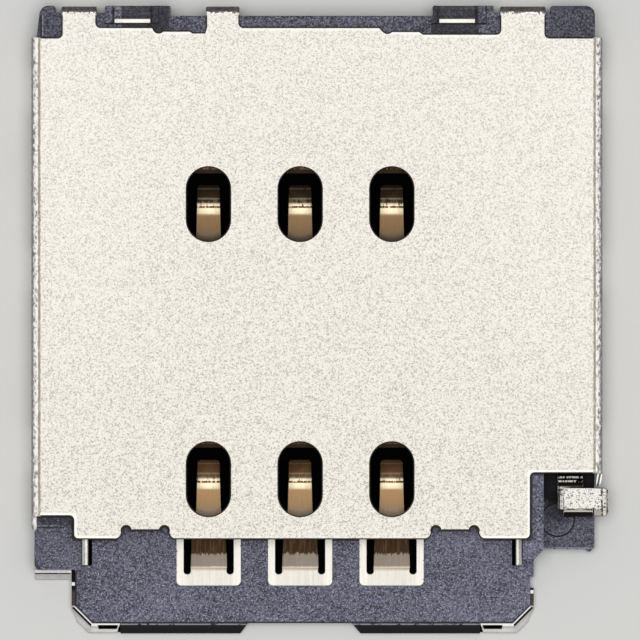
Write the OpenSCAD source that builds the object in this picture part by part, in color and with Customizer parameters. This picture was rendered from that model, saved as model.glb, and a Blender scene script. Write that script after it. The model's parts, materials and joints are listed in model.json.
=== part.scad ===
// Board socket for a nano card carried in a tray, with a push rod and lever that eject the tray.
// Board plane at z = 0, tray entry towards -Y, push rod on the +X side.

/* [Overall] */
// Height above the board
height = 1.5; // [1.45:0.01:1.6]
// Width over the shell's side walls
shell_w = 15.83; // [15.81:0.01:15.87]
// How far the push rod stands out past the shell
rod_out = 0.17; // [0.17:0.01:0.2]
// Length from the rear face to the front lip
total_l = 17.42; // [17.4:0.01:17.5]
// Height of the floor that the tray slides on
floor_h = 0.45; // [0.42:0.01:0.48]

/* [Card contacts] */
// Spacing of the contact columns
pitch = 2.54; // [2.52:0.01:2.56]
// Spacing of the two contact rows
row_gap = 7.62; // [7.58:0.01:7.66]
// Middle of the card path, across
card_x = -0.55; // [-0.57:0.01:-0.53]
// Middle of the two rows of windows, along
card_y = -0.6; // [-0.63:0.01:-0.57]
// Thickness of the contact sheet
lead_t = 0.12; // [0.1:0.01:0.14]
// Width of a contact frame
frame_w = 1.8; // [1.76:0.01:1.84]
// Width of a frame's side rails
rail_w = 0.21; // [0.19:0.01:0.23]
// Width of the sprung beam at its root
beam_w = 1; // [0.94:0.01:1.04]
// Width of the sprung beam under the shell's front edge
waist_w = 0.96; // [0.9:0.01:0.98]
// Width of the sprung beam at its tip
tip_w = 0.66; // [0.6:0.01:0.7]
// Height of the beam's crown
crown_h = 1.1; // [1:0.01:1.18]

/* [Shell] */
// Thickness of the shell sheet
sheet = 0.15; // [0.14:0.01:0.16]
// Outer radius of the shell's bends
bend_r = 0.2; // [0.19:0.01:0.22]
// Width of a window
window_w = 1.19; // [1.1:0.01:1.24]
// Length of a window
window_l = 2.04; // [1.98:0.01:2.1]

/* [Eject drive] */
// Stroke of the push rod
stroke = 1.4; // [1.3:0.05:1.4]
// Lever arm from pivot to rod
rod_arm = 2.4; // [2.38:0.01:2.45]
// Lever arm from pivot to tray
tray_arm = 3.6; // [3.5:0.05:3.7]
// Thickness of the rod sheet
rod_t = 0.2; // [0.18:0.01:0.22]
// Thickness of the lever
lever_t = 0.25; // [0.22:0.01:0.27]
// Radius of the lever's pivot boss
pivot_r = 0.5; // [0.45:0.01:0.55]
// Running clearance of rod and lever
play = 0.03; // [0.02:0.01:0.04]

/* [Hidden] */
NODES = ["housing", "shell", "contact_c1", "contact_c2", "contact_c3", "contact_c5", "contact_c6",
         "contact_c7", "tray_spring_left", "tray_spring_right", "front_nail_left", "front_nail_right",
         "rear_nail_left", "rear_nail_right", "push_rod", "eject_lever"];
$fn = 48;
eps = 0.05;

// Main planes
x_left = -(shell_w + rod_out) / 2;
x_right = x_left + shell_w;
y_rear = total_l / 2;
y_front = -total_l / 2;
z_roof = height - sheet;

// Housing: sides, walls and the ends of its top edges
side_gap = 0.06;
left_wall = 1.23;
right_wall = 0.58;
channel_w = 1.42;
house_left = x_left + sheet;
house_right = x_right - sheet - side_gap;
wall_left = house_left + left_wall;
wall_out = house_right - channel_w;
wall_right = wall_out - right_wall;
rear_face = y_rear - 0.28;
rear_inner = y_rear - 0.96;
tab_face = y_rear - sheet - 0.05;
apron_front = y_front + 0.29;
apron_left = wall_left - 0.18;
apron_right = wall_right + 0.315;
apron_cut = 0.48;
nail_step = 0.1;
lip_left = apron_left + 1.25;
lip_right = apron_right - nail_step - 1.385;
block_h = height - 0.45;
block_left = x_left + 0.08;
block_rear = card_y - 5.27;
channel_h = floor_h + 0.1;
ledge_front = card_y - 5.76;
left_front = card_y - 6.33;
wall_front = card_y - 6.03;
apron_side = wall_front - apron_front - apron_cut;
step_y = wall_front - 0.382 * apron_side;
nail_top = wall_front - 0.618 * apron_side;

// Shell: edges of the top plate, seen from above
edge_front = card_y - 5.48;
edge_left = card_y - 4.84;
edge_right = card_y - 3.65;
edge_corner = y_rear - 0.88;
edge_rear = y_rear - 0.59;
edge_low = y_rear - 0.775;
step_left = wall_left - 0.22;
step_right = wall_right + 0.225;
rear_tabs = [[x_left + 0.84, x_left + 1.81], [x_left + 4.84, x_left + 5.77],
             [x_right - 2.84, x_right - 1.58]];

// Rear blocks: left edge and width of each, and how far in its nail stands
rear_blocks = [[rear_tabs[0][1] + 0.24, 1.8, 0.25], [rear_tabs[2][0] - 1.86, 1.68, 0.17]];
nail_w = 1;
nail_in = 0.42;
nail_bend = 0.12;

// Shear marks of the rear edge: right end of the notch and of the dip
notch_x = rear_tabs[1][0] - 0.04;
dip_x = rear_tabs[2][0] - 2.12;

// Contacts: places along the contact, from the middle of its window
frame_front = -2.97;
slot_front = -2.65;
bar_inner = 0.86;
bar_outer = 1.08;
tip_end = 0.53;
tip_drop = 0.42;
tail_end = 1.9;
tail_w = 0.7;
CONTACTS = [for (i = [2:7]) NODES[i]];

// Tray springs
spring_t = 0.18;
spring_front = card_y - 6.2;
spring_h = z_roof - 0.2;
slot_w = 0.29;

// Eject drive: pivot, rest angle and the parts' levels
channel_x = (wall_out + house_right) / 2;
pivot = [channel_x - rod_arm, rear_inner - stroke / 2 - 0.45];
half_turn = asin(stroke / 2 / rod_arm);
lever_bend = 14.3;
nose_r = 0.4;
rod_z = channel_h + play;
lever_z = rod_z;
rod_end = pivot[1] + stroke / 2 - nose_r - play;
flap_z = z_roof - 0.17;
flap_front = edge_right - 1.11;
flap_rear = edge_right - 0.4;
neck_rear = edge_right + 0.12;
neck_front = edge_right - 0.36;
neck_in = 0.35;
neck_w = 0.7;
rod_bend = 0.15;
fold_bend = 0.12;
flap_corner = 0.14;
hub_w = 0.42;
arm_w = 0.45;
nose_w = 0.22;
tray_w = 0.6;
tip_r = 0.35;

// Rounded corners: points of the arc of radius r that blends the corner a, b, c
function unit(v) = v / norm(v);
function flat(p) = [p[0], p[1]];
function blend(a, b, c, r, n = 6) =
    is_undef(r) ? [b] :
    let (u = unit(a - b), v = unit(c - b), half = acos(u * v) / 2,
         m = b + unit(u + v) * r / sin(half),
         p = b + u * r / tan(half) - m,
         q = b + v * r / tan(half) - m,
         start = atan2(p[1], p[0]),
         turn = atan2(p[0] * q[1] - p[1] * q[0], p * q))
    [for (i = [0:n]) m + r * [cos(start + turn * i / n), sin(start + turn * i / n)]];

// Closed outline from corners [x, y] or [x, y, radius]
function rounded(pts) =
    let (n = len(pts))
    [for (i = [0:n - 1])
        each blend(flat(pts[(i + n - 1) % n]), flat(pts[i]), flat(pts[(i + 1) % n]), pts[i][2])];

// Open path from points [x, y] or [x, y, bend radius]
function bent(pts) =
    let (n = len(pts))
    [flat(pts[0]),
     for (i = [1:n - 2]) each blend(flat(pts[i - 1]), flat(pts[i]), flat(pts[i + 1]), pts[i][2]),
     flat(pts[n - 1])];

// Outline of a sheet of thickness t bent along a path
function side(path, i) =
    let (n = len(path),
         d0 = unit(path[max(i, 1)] - path[max(i, 1) - 1]),
         d1 = unit(path[min(i + 1, n - 1)] - path[min(i + 1, n - 1) - 1]),
         d = unit(d0 + d1))
    [-d[1], d[0]] / (d * d1);
function ribbon(path, t) =
    let (n = len(path))
    concat([for (i = [0:n - 1]) path[i] + side(path, i) * t / 2],
           [for (i = [n - 1:-1:0]) path[i] - side(path, i) * t / 2]);

module slab(z0, z1) {
    translate([0, 0, z0]) linear_extrude(z1 - z0) children();
}

module along_x(x0, x1) {
    translate([x0, 0, 0]) rotate([90, 0, 90]) linear_extrude(x1 - x0) children();
}

module along_y(y0, y1) {
    translate([0, y1, 0]) rotate([90, 0, 0]) linear_extrude(y1 - y0) children();
}

module rect(x0, x1, y0, y1) {
    translate([x0, y0]) square([x1 - x0, y1 - y0]);
}

module at_contact(i) {
    translate([card_x + (i % 3 - 1) * pitch, card_y + (i < 3 ? -1 : 1) * row_gap / 2]) children();
}

// Housing
module floor_plan() {
    polygon(rounded([
        [block_left, left_front, 0.15], [apron_left, left_front], [apron_left, apron_front + apron_cut],
        [apron_left + apron_cut, apron_front],
        [apron_right - nail_step - apron_cut, apron_front],
        [apron_right - nail_step, apron_front + apron_cut],
        [apron_right - nail_step, step_y], [apron_right, step_y], [apron_right, wall_front],
        [wall_out, ledge_front], [house_right, ledge_front, 0.06],
        [house_right, rear_inner + eps], [house_left, rear_inner + eps],
        [house_left, block_rear], [block_left, block_rear]]));
}

module rear_plan() {
    polygon(rounded([
        [house_left, rear_inner], [house_right, rear_inner],
        [house_right, y_rear, 0.25], [rear_tabs[2][1] + 0.15, y_rear, 0.04],
        [rear_tabs[2][1] + 0.15, tab_face], [rear_blocks[1][0] + rear_blocks[1][1], tab_face],
        [rear_blocks[1][0] + rear_blocks[1][1], y_rear], [rear_blocks[1][0], y_rear],
        [rear_blocks[1][0], rear_face], [rear_blocks[0][0] + rear_blocks[0][1], rear_face],
        [rear_blocks[0][0] + rear_blocks[0][1], y_rear], [rear_blocks[0][0], y_rear],
        [rear_blocks[0][0], tab_face], [rear_tabs[0][0] - 0.19, tab_face],
        [rear_tabs[0][0] - 0.19, y_rear, 0.04], [house_left + 0.1, y_rear, 0.25],
        [house_left, edge_corner, 0.3]]));
}

module walls() {
    slab(0, z_roof) {
        rear_plan();
        rect(house_left, wall_left, edge_left - 0.24, rear_inner + eps);
        rect(wall_right, wall_out, ledge_front, pivot[1] - 1.3);
    }
    slab(0, z_roof) polygon([
        [wall_right, ledge_front + eps], [wall_right, wall_front], [apron_right, wall_front],
        [wall_out, ledge_front]]);
    slab(0, block_h) {
        rect(house_left, wall_left, block_rear - eps, edge_left);
        polygon(rounded([[block_left, left_front, 0.15], [wall_left, left_front], [wall_left, block_rear],
                         [block_left, block_rear]]));
    }
    slab(0, channel_h) rect(wall_out - eps, house_right, ledge_front, rear_inner + eps);
}

module front_lip() {
    lip = [[apron_front + eps, 0], [apron_front + eps, 0.26], [apron_front - 0.05, 0.26], [y_front, 0.16],
           [y_front, 0]];
    intersection() {
        along_x(lip_left, lip_right) polygon(lip);
        difference() {
            slab(0, 1) rect(x_left, x_right, y_front, 0);
            slab(-eps, 1 + eps) polygon([
                [card_x - 1.45, apron_front], [card_x - 1.7, y_front - eps],
                [card_x + 1.72, y_front - eps], [card_x + 1.43, apron_front]]);
        }
    }
}

module pivot_boss() {
    translate(pivot) {
        cylinder(r = pivot_r + 0.35, h = lever_z - play);
        cylinder(r = pivot_r, h = lever_z + lever_t + 2 * play);
        translate([0, 0, lever_z + lever_t + play])
            cylinder(r1 = pivot_r + 0.22, r2 = pivot_r + 0.1, h = 0.14);
    }
}

// Wedges that snap into the windows of the shell's left wall
module latch_wedges() {
    wedge = [[house_left + eps, 0.95], [house_left, 0.95], [house_left - sheet * 0.8, 0.6],
             [house_left + eps, 0.6]];
    for (y = latch_at) along_y(y - 0.5, y + 0.5) polygon(wedge);
}
latch_at = [card_y - 1.5, card_y + 5];

module contact_room() {
    slab(floor_h - lead_t, floor_h + eps) frame_plan();
    slab(-eps, floor_h + eps) {
        opening_plan();
        rect(-tail_w / 2 - 0.05, tail_w / 2 + 0.05, bar_outer - 0.02, tail_end + 0.05);
    }
}

// Chamfers along the top of the walls: clear of the shell's bends, and on the right corner block
module wall_chamfers() {
    c = bend_r - sheet + 0.04;
    top = z_roof + eps;
    along_y(edge_left - 0.3, edge_corner) polygon([
        [house_left - eps, top], [house_left + c + eps, top], [house_left - eps, z_roof - c - eps]]);
    for (tab = rear_tabs) along_x(tab[0] - 0.02, tab[1] + 0.02) polygon([
        [tab_face + eps, top], [tab_face - c - eps, top], [tab_face + eps, z_roof - c - eps]]);
    along_x(rear_tabs[2][1] + 0.15, x_right) polygon([
        [y_rear + eps, top], [y_rear - 0.12 - eps, top], [y_rear + eps, z_roof - 0.12 - eps]]);
}

// Sloped facet on the front corner of the left block
module block_facet() {
    facet = [0.2, 0.38];
    translate([block_left, left_front + facet[1], block_h]) rotate(-atan2(facet[1], facet[0]))
        along_x(-0.2, 0.6) polygon([[eps, eps], [-0.5, eps], [-0.5, -0.5]]);
}

module block_detail(block) {
    slot_y = y_rear - 0.36;
    x0 = block[0];
    // Shallow sink round the nail's top edge, and a step beside it
    x1 = x0 + block[2] + nail_w + 0.06;
    slab(z_roof - 0.08, z_roof + eps) rect(x0 + block[2] - 0.05, x1, slot_y - 0.16, y_rear - 0.12);
    slab(z_roof - 0.04, z_roof + eps) rect(x0 - eps, x0 + 1.47, slot_y - 0.16, slot_y - 0.12);
}

module housing() color([0.31, 0.31, 0.36]) difference() {
    union() {
        slab(0, floor_h) floor_plan();
        walls();
        front_lip();
        pivot_boss();
        latch_wedges();
        translate([house_right - 0.15, ledge_front, 0]) cylinder(r = 0.08, h = channel_h - 0.1);
    }
    for (i = [0:5]) at_contact(i) contact_room();
    for (s = [-1, 1]) spring_room(s);
    wall_chamfers();
    block_facet();
    for (block = rear_blocks) {
        block_detail(block);
        rear_nail(block);
    }
    front_nail_tongue(-1);
    front_nail_tongue(1);
    // Round mould mark on the ledge
    translate([wall_out + 0.4, ledge_front + 0.81, channel_h - 0.045]) cylinder(r = 0.46, h = 0.1);
}

// Shell
// Notch left where the sheet was cut from its carrier strip, with a round relief at each end
module carrier_notch(x0, x1, edge, depth, relief, sink, out, flare = 0) {
    shear = edge - out * depth;
    if (flare > 0) polygon(rounded([
        [x0 - 3 * flare, edge + out * 0.02], [x0 - 0.06, edge, flare], [x0 + 0.04, shear],
        [x1 - 0.04, shear], [x1 + 0.06, edge, flare], [x1 + 3 * flare, edge + out * 0.02]]));
    polygon([[x0 - 0.06, edge + out * eps], [x0 + 0.04, shear],
             [x1 - 0.04, shear], [x1 + 0.06, edge + out * eps]]);
    for (x = [x0 + relief, x1 - relief]) translate([x, shear + out * (relief - sink)]) circle(relief);
}

module window() {
    r = window_w / 2;
    square([window_w, window_l - window_w], center = true);
    for (s = [-1, 1]) translate([0, s * (window_l / 2 - r)]) circle(r);
}

module top_plan() {
    side_in = bend_r;
    tab_in = y_rear - bend_r - 0.02;
    difference() {
        polygon(rounded([
            [x_left + side_in, edge_left], [step_left, edge_left, 0.11], [step_left, edge_front, 0.14],
            [step_right, edge_front, 0.16], [step_right, edge_right, 0.11], [x_right - side_in, edge_right],
            [x_right - side_in, edge_corner], [rear_tabs[2][1], edge_corner, 0.11],
            [rear_tabs[2][1], tab_in],
            [rear_tabs[2][0], tab_in], [rear_tabs[2][0], edge_low, 0.11],
            [dip_x, edge_low], [dip_x - 0.12, edge_rear - 0.11],
            [dip_x - 1.12, edge_rear - 0.11], [dip_x - 1.22, edge_rear], [rear_tabs[1][1], edge_rear, 0.11],
            [rear_tabs[1][1], tab_in], [rear_tabs[1][0], tab_in], [rear_tabs[1][0], edge_rear],
            [rear_tabs[0][1], edge_rear, 0.11], [rear_tabs[0][1], tab_in], [rear_tabs[0][0], tab_in],
            [rear_tabs[0][0], edge_corner, 0.11], [x_left + side_in, edge_corner]]));
        for (s = [-1, 1])
            carrier_notch(card_x + s * 4.29 - 0.65, card_x + s * 4.29 + 0.65, edge_front,
                          0.25, 0.12, 0.12, -1, 0.2);
        carrier_notch(notch_x - 1.41, notch_x, edge_rear, 0.1, 0.14, 0.055, 1);
        polygon([[notch_x - 0.4, edge_rear], [notch_x - 0.4, edge_rear - 0.1],
                 [notch_x - 0.32, edge_rear - 0.155], [notch_x, edge_rear - 0.155],
                 [notch_x + 0.04, edge_rear]]);
        translate([dip_x - 1, edge_rear - 0.025]) circle(0.14);
        for (i = [0:5]) at_contact(i) window();
    }
}

module side_wall(edge, dir, y0, y1, z0) {
    mid = edge + dir * sheet / 2;
    top = height - sheet / 2;
    path = [[mid + dir * 3 * bend_r, top], [mid, top, bend_r - sheet / 2], [mid, z0]];
    along_y(y0, y1) polygon(ribbon(bent(path), sheet));
}

// Front end of a side wall, below the top plate: rounded, and set in a little at its tip
module wall_end(edge, dir, y, len, top, r, set_in) {
    tip = edge + dir * set_in;
    intersection() {
        along_x(x_left, x_right) polygon(rounded([
            [y + eps, 0.3], [y - len, 0.3], [y - len, top, r], [y + eps, top]]));
        slab(0, height) polygon(rounded([
            [edge, y + eps], [edge, y], [tip, y - len, 0.1], [tip + dir * sheet, y - len],
            [edge + dir * sheet, y], [edge + dir * sheet, y + eps]]));
    }
}

module rear_tab(tab, z0) {
    mid = y_rear - 0.02 - sheet / 2;
    top = height - sheet / 2;
    path = [[mid - 3 * bend_r, top], [mid, top, bend_r - sheet / 2], [mid, z0]];
    along_x(tab[0], tab[1]) polygon(ribbon(bent(path), sheet));
}

module shell() color([0.92, 0.9, 0.86]) difference() {
    union() {
        slab(z_roof, height) top_plan();
        side_wall(x_left, 1, edge_left, edge_corner, 0.3);
        side_wall(x_right, -1, edge_right, edge_corner, 0.3);
        for (tab = rear_tabs) rear_tab(tab, 0);
        wall_end(x_left, 1, edge_left, 0.4, height - 0.45, 0.2, 0);
        wall_end(x_right, -1, edge_right, 0.35, height - 0.25, 0.12, 0.04);
        // Solder feet of the side walls
        for (y = [card_y - 3, card_y + 2, edge_corner - 1.43])
            for (x = [x_left, x_right - sheet])
                translate([x, y - 0.6, 0]) cube([sheet, 1.2, 0.4]);
    }
    for (y = latch_at) translate([x_left - eps, y - 0.55, 0.57]) cube([sheet + 2 * eps, 1.1, 0.43]);
}

// Contacts
module frame_plan() {
    w = frame_w / 2;
    polygon(rounded([
        [-w, frame_front, 0.14], [w, frame_front, 0.14], [w, bar_outer, 0.14], [-w, bar_outer, 0.14]]));
}

module opening_plan() {
    x1 = frame_w / 2 - rail_w;
    x0 = beam_w / 2;
    r = 0.45 * (x1 - x0);
    rect(-x1, x1, slot_front + 0.2, bar_inner);
    for (s = [-1, 1]) polygon(rounded([
        [s * x0, slot_front, r], [s * x1, slot_front, r],
        [s * x1, slot_front + 0.25], [s * x0, slot_front + 0.25]]));
}

module contact(i) {
    mid = floor_h - lead_t / 2;
    beam = [[-2.85, mid], [-2.49, mid, 0.3], [-2.05, mid + 0.07, 0.4], [-0.26, crown_h - lead_t / 2, 0.16],
            [0, crown_h - lead_t / 2, 0.16], [tip_end + 0.02, crown_h - tip_drop]];
    tail = [[bar_outer - 0.1, mid], [1.26, mid, 0.12], [1.44, lead_t / 2, 0.12], [tail_end, lead_t / 2]];
    color([0.78, 0.66, 0.45]) at_contact(i) {
        slab(floor_h - lead_t, floor_h) difference() {
            frame_plan();
            opening_plan();
        }
        intersection() {
            along_x(-beam_w, beam_w) polygon(ribbon(bent(beam), lead_t));
            slab(0, height) polygon(rounded([
                [-beam_w / 2, -2.85], [beam_w / 2, -2.85], [beam_w / 2, slot_front],
                [waist_w / 2, -1.7, 1], [tip_w / 2 + 0.02, -0.9, 2.5], [tip_w / 2, -0.14],
                [tip_w / 2 - 0.02, tip_end, 0.1], [0.02 - tip_w / 2, tip_end, 0.1],
                [-tip_w / 2, -0.14], [-tip_w / 2 - 0.02, -0.9, 2.5], [-waist_w / 2, -1.7, 1],
                [-beam_w / 2, slot_front]]));
        }
        along_x(-tail_w / 2, tail_w / 2) polygon(ribbon(bent(tail), lead_t));
    }
}

// Tray springs: s is -1 on the left and 1 on the right
function spring_wall(s) = s < 0 ? wall_left : wall_right;

module spring_plan(s) {
    x = spring_wall(s) - s * spring_t / 2;
    path = [[x, spring_front], [x, card_y - 4.9, 0.8], [x - s * 0.32, card_y - 3.1, 0.5],
            [x, card_y - 1.3, 0.8], [x, card_y + 0.2]];
    polygon(ribbon(bent(path), spring_t));
    rect(min(x, x + s * 0.3), max(x, x + s * 0.3), card_y + 0.05, card_y + 0.2);
}

module spring_room(s) {
    x = spring_wall(s);
    inner = x - s * slot_w;
    back = x + s * 0.32;
    hook = x + s * (0.3 - spring_t / 2);
    slab(-eps, floor_h + eps)
        rect(min(x, inner), max(x, inner), spring_front - 0.02, edge_front + 0.9);
    slab(floor_h, spring_h + 0.1)
        rect(min(x - s * eps, back), max(x - s * eps, back), card_y - 4.6, card_y - 1.5);
    slab(floor_h, spring_h)
        rect(min(x - s * eps, hook), max(x - s * eps, hook), card_y + 0.05, card_y + 0.2);
}

module tray_spring(s) color([0.85, 0.83, 0.79]) {
    slab(floor_h + 0.02, spring_h) spring_plan(s);
    slab(floor_h - 0.2, floor_h + 0.1) intersection() {
        spring_plan(s);
        rect(x_left, x_right, spring_front - eps, edge_front + 0.85);
    }
}

// Front nails: a strip on edge round the apron's corner, with feet turned out on the board
function nail_path(s, t) =
    let (x = s < 0 ? apron_left : apron_right - nail_step,
         k = t * tan(22.5),
         top = s < 0 ? left_front - t : nail_top)
    concat(s < 0 ? [[block_left, top], [x - t, top]] : [[x + t, top]],
           [[x + s * t, apron_front + apron_cut - k],
            [x - s * (apron_cut - k), apron_front - t],
            [s < 0 ? lip_left : lip_right, apron_front - t]]);

module front_nail_tongue(s) {
    x = s < 0 ? apron_left : apron_right - nail_step;
    x0 = x + s * nail_step / 2;
    x1 = x - s * 0.4;
    slab(0.12, 0.12 + lead_t)
        rect(min(x0, x1), max(x0, x1), apron_front + 0.55, apron_front + 0.85);
}

// Slot between the leg and the foot, along the front edge, and the foot's slanted end
module nail_slot(s) {
    end = s < 0 ? lip_left : lip_right;
    top = apron_front - 0.055;
    low = apron_front - 0.165;
    slab(-eps, floor_h) {
        polygon([[end + s * 0.06, top], [end + s * 0.62, top], [end + s * 0.6, low], [end + s * 0.11, low]]);
        polygon([[end, apron_front], [end + s * 0.1, y_front - eps], [end - s * eps, y_front - eps],
                 [end - s * eps, apron_front]]);
    }
}

// Limits of a foot, narrowing to a point beside the leg
module foot_clip() {
    left = apron_left - nail_step;
    point = apron_front + 0.36;
    low = apron_front + 0.09;
    polygon([[left, 0], [left, point], [left + 0.14, low], [left + 0.14, y_front],
             [apron_right - 0.14, y_front], [apron_right - 0.14, low], [apron_right, point],
             [apron_right, 0]]);
}

module front_nail(s) {
    t = nail_step / 2;
    leg = nail_path(s, t);
    n = len(leg);
    foot = nail_path(s, nail_step + 0.09);
    color([0.88, 0.86, 0.83]) difference() {
        union() {
            slab(0, floor_h - 0.05) polygon(ribbon(leg, nail_step));
            slab(0, lead_t) intersection() {
                polygon(ribbon([for (i = [n - 3:n - 1]) foot[i]], 0.18));
                foot_clip();
            }
            if (s < 0) slab(0, lead_t) rect(block_left, apron_left - 0.09, left_front - 0.29, left_front - t);
            front_nail_tongue(s);
        }
        nail_slot(s);
    }
}

// Rear nails: an upright plate in the block, with a foot turned back on the board
module rear_nail(block) {
    y = y_rear - nail_in;
    path = [[y, z_roof - 0.05], [y, lead_t / 2, nail_bend], [y_rear, lead_t / 2]];
    color([0.93, 0.91, 0.87])
        along_x(block[0] + block[2], block[0] + block[2] + nail_w) polygon(ribbon(bent(path), lead_t));
}

// Push rod: a folded strip in the channel, with a flap, side fold and lip at its front end
module push_rod() color([0.92, 0.9, 0.87]) {
    mid = rod_z + rod_t / 2;
    neck = [[neck_rear + 0.48, mid], [neck_rear, mid, rod_bend], [neck_front, flap_z, rod_bend],
            [flap_rear - 0.06, flap_z]];
    lip = [[flap_rear, flap_z], [flap_front, flap_z, rod_bend], [flap_front, channel_h + 0.08]];
    rod_left = wall_out + 0.04;
    rod_right = house_right - 0.02;
    fold = x_right + rod_out - rod_t / 2;
    inner_fold = rod_left + neck_in + 0.11;
    slab(rod_z, rod_z + rod_t) polygon(rounded([
        [rod_left, edge_right + 0.55, 0.1], [rod_right, edge_right + 0.55, 0.1],
        [rod_right, rod_end - 0.5, 0.15],
        [channel_x + 0.45, rod_end - 0.2], [channel_x + 0.45, rod_end, 0.1], [channel_x - 0.4, rod_end, 0.1],
        [channel_x - 0.4, rod_end - 0.3], [rod_left, rod_end - 0.7, 0.15]]));
    along_x(rod_left + neck_in, rod_left + neck_in + neck_w) polygon(ribbon(bent(neck), rod_t));
    slab(flap_z - rod_t / 2, flap_z + rod_t / 2)
        rect(inner_fold + fold_bend, fold - rod_t, flap_front + rod_bend, flap_rear);
    along_x(inner_fold + 0.05, house_right - 0.05) polygon(ribbon(bent(lip), rod_t));
    // Outer side, folded down and rounded at both ends
    intersection() {
        along_y(flap_front - 0.08, flap_rear) polygon(ribbon(bent([
            [fold - 0.3, flap_z], [fold, flap_z, fold_bend], [fold, floor_h]]), rod_t));
        slab(0, height) polygon(rounded([
            [fold - 0.4, flap_front - 0.08], [fold + rod_t / 2, flap_front - 0.08, flap_corner],
            [fold + rod_t / 2, flap_rear, flap_corner], [fold - 0.4, flap_rear]]));
    }
    along_y(flap_front + 0.1, flap_rear) polygon(ribbon(bent([
        [inner_fold + 0.5, flap_z], [inner_fold, flap_z, fold_bend],
        [inner_fold, channel_h + 0.3]]), rod_t));
}

// Eject lever: drawn with its rod arm square to the rod, then turned to where the rod is pushed in
module lever_arm(angle, len, w0, w1, r) {
    rotate(angle) {
        polygon([[0, -w0], [len, -w1], [len, w1], [0, w0]]);
        translate([len, 0]) circle(r);
    }
}

module eject_lever() color([0.75, 0.74, 0.72]) translate([pivot[0], pivot[1], lever_z]) rotate(half_turn)
    linear_extrude(lever_t) difference() {
        union() {
            circle(pivot_r + hub_w);
            lever_arm(0, rod_arm, arm_w, nose_w, nose_r);
            lever_arm(180 + lever_bend, tray_arm, tray_w, tip_r, tip_r);
        }
        circle(pivot_r + play);
    }

housing();
shell();
for (i = [0:5]) contact(i);
tray_spring(-1);  // tray_spring_left
tray_spring(1);  // tray_spring_right
front_nail(-1);  // front_nail_left
front_nail(1);  // front_nail_right
rear_nail(rear_blocks[0]);  // rear_nail_left
rear_nail(rear_blocks[1]);  // rear_nail_right
push_rod();
eject_lever();
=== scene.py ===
import json
import math

import bpy
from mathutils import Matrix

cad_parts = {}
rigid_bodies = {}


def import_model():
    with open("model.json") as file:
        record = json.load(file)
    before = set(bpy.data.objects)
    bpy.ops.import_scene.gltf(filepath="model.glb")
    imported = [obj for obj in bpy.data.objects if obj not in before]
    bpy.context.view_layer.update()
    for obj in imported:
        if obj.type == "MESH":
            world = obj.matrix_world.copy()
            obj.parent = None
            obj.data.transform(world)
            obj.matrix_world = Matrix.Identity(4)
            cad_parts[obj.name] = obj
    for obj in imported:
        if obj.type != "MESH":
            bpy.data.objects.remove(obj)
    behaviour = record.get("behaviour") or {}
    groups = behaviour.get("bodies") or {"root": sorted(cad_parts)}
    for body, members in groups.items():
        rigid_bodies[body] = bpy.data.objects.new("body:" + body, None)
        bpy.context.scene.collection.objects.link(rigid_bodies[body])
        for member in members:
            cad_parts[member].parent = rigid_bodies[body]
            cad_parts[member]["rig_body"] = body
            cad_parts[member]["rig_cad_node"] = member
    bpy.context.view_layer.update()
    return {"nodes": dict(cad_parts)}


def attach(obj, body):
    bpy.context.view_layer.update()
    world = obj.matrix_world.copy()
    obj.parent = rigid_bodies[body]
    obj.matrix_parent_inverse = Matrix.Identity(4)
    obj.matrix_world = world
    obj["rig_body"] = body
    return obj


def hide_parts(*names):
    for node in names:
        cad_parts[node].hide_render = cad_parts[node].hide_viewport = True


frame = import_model()
scene = bpy.context.scene
mm = 0.001
print("frame loaded:", len(frame["nodes"]), "solids")


# places on the part, in millimetres, as in its source
layout = {
    "roof": 1.5,                          # top of the shell
    "column": -3.09,                      # left contact column
    "row": -4.41,                         # front window row
    "rowGap": 7.62,
    "pitch": 2.54,
    "frameHalf": 0.9,                     # half width of a contact frame
    "steps": (-6.84, 5.845),              # x of the two steps in the shell's front edge
    "fronts": (-5.44, -6.08, -4.25),      # y of that edge on the left, in the middle, on the right
    "apron": (-6.8, 5.835, -8.42, 0.48),  # left, right, front and corner cut of the apron
}

studio = {
    "pixelsPerMm": 36.1,
    "imagePixels": 640,
    "distance": 400.0,                    # camera to shell, mm
    "sensor": 36.0,
    "clip": (0.01, 5.0),
    "floorSize": 700.0,
    "floorDrop": 0.004,                   # floor below the part's feet
    "floorColour": (0.70, 0.70, 0.69),
    "floorRoughness": 0.8,
    "shade": (0.002, 0.002, 0.002),       # painted shadow on the floor under the part, seen through its openings
    "shadeMiddle": -0.5,
    "shadeHalf": (5.9, 6.2, 7.6, 8.0),    # half width and half length, full and fading
    "nailSlots": (-5.85, 4.80),           # x of the openings in the front nails
    "slotFront": -8.53,
    "worldColour": (1.0, 0.99, 0.97, 1.0),
    "worldStrength": 0.40,
    "lampHeight": 260.0,
    "lampDiameter": 165.0,
    "lampPower": 0.40,
}


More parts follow.
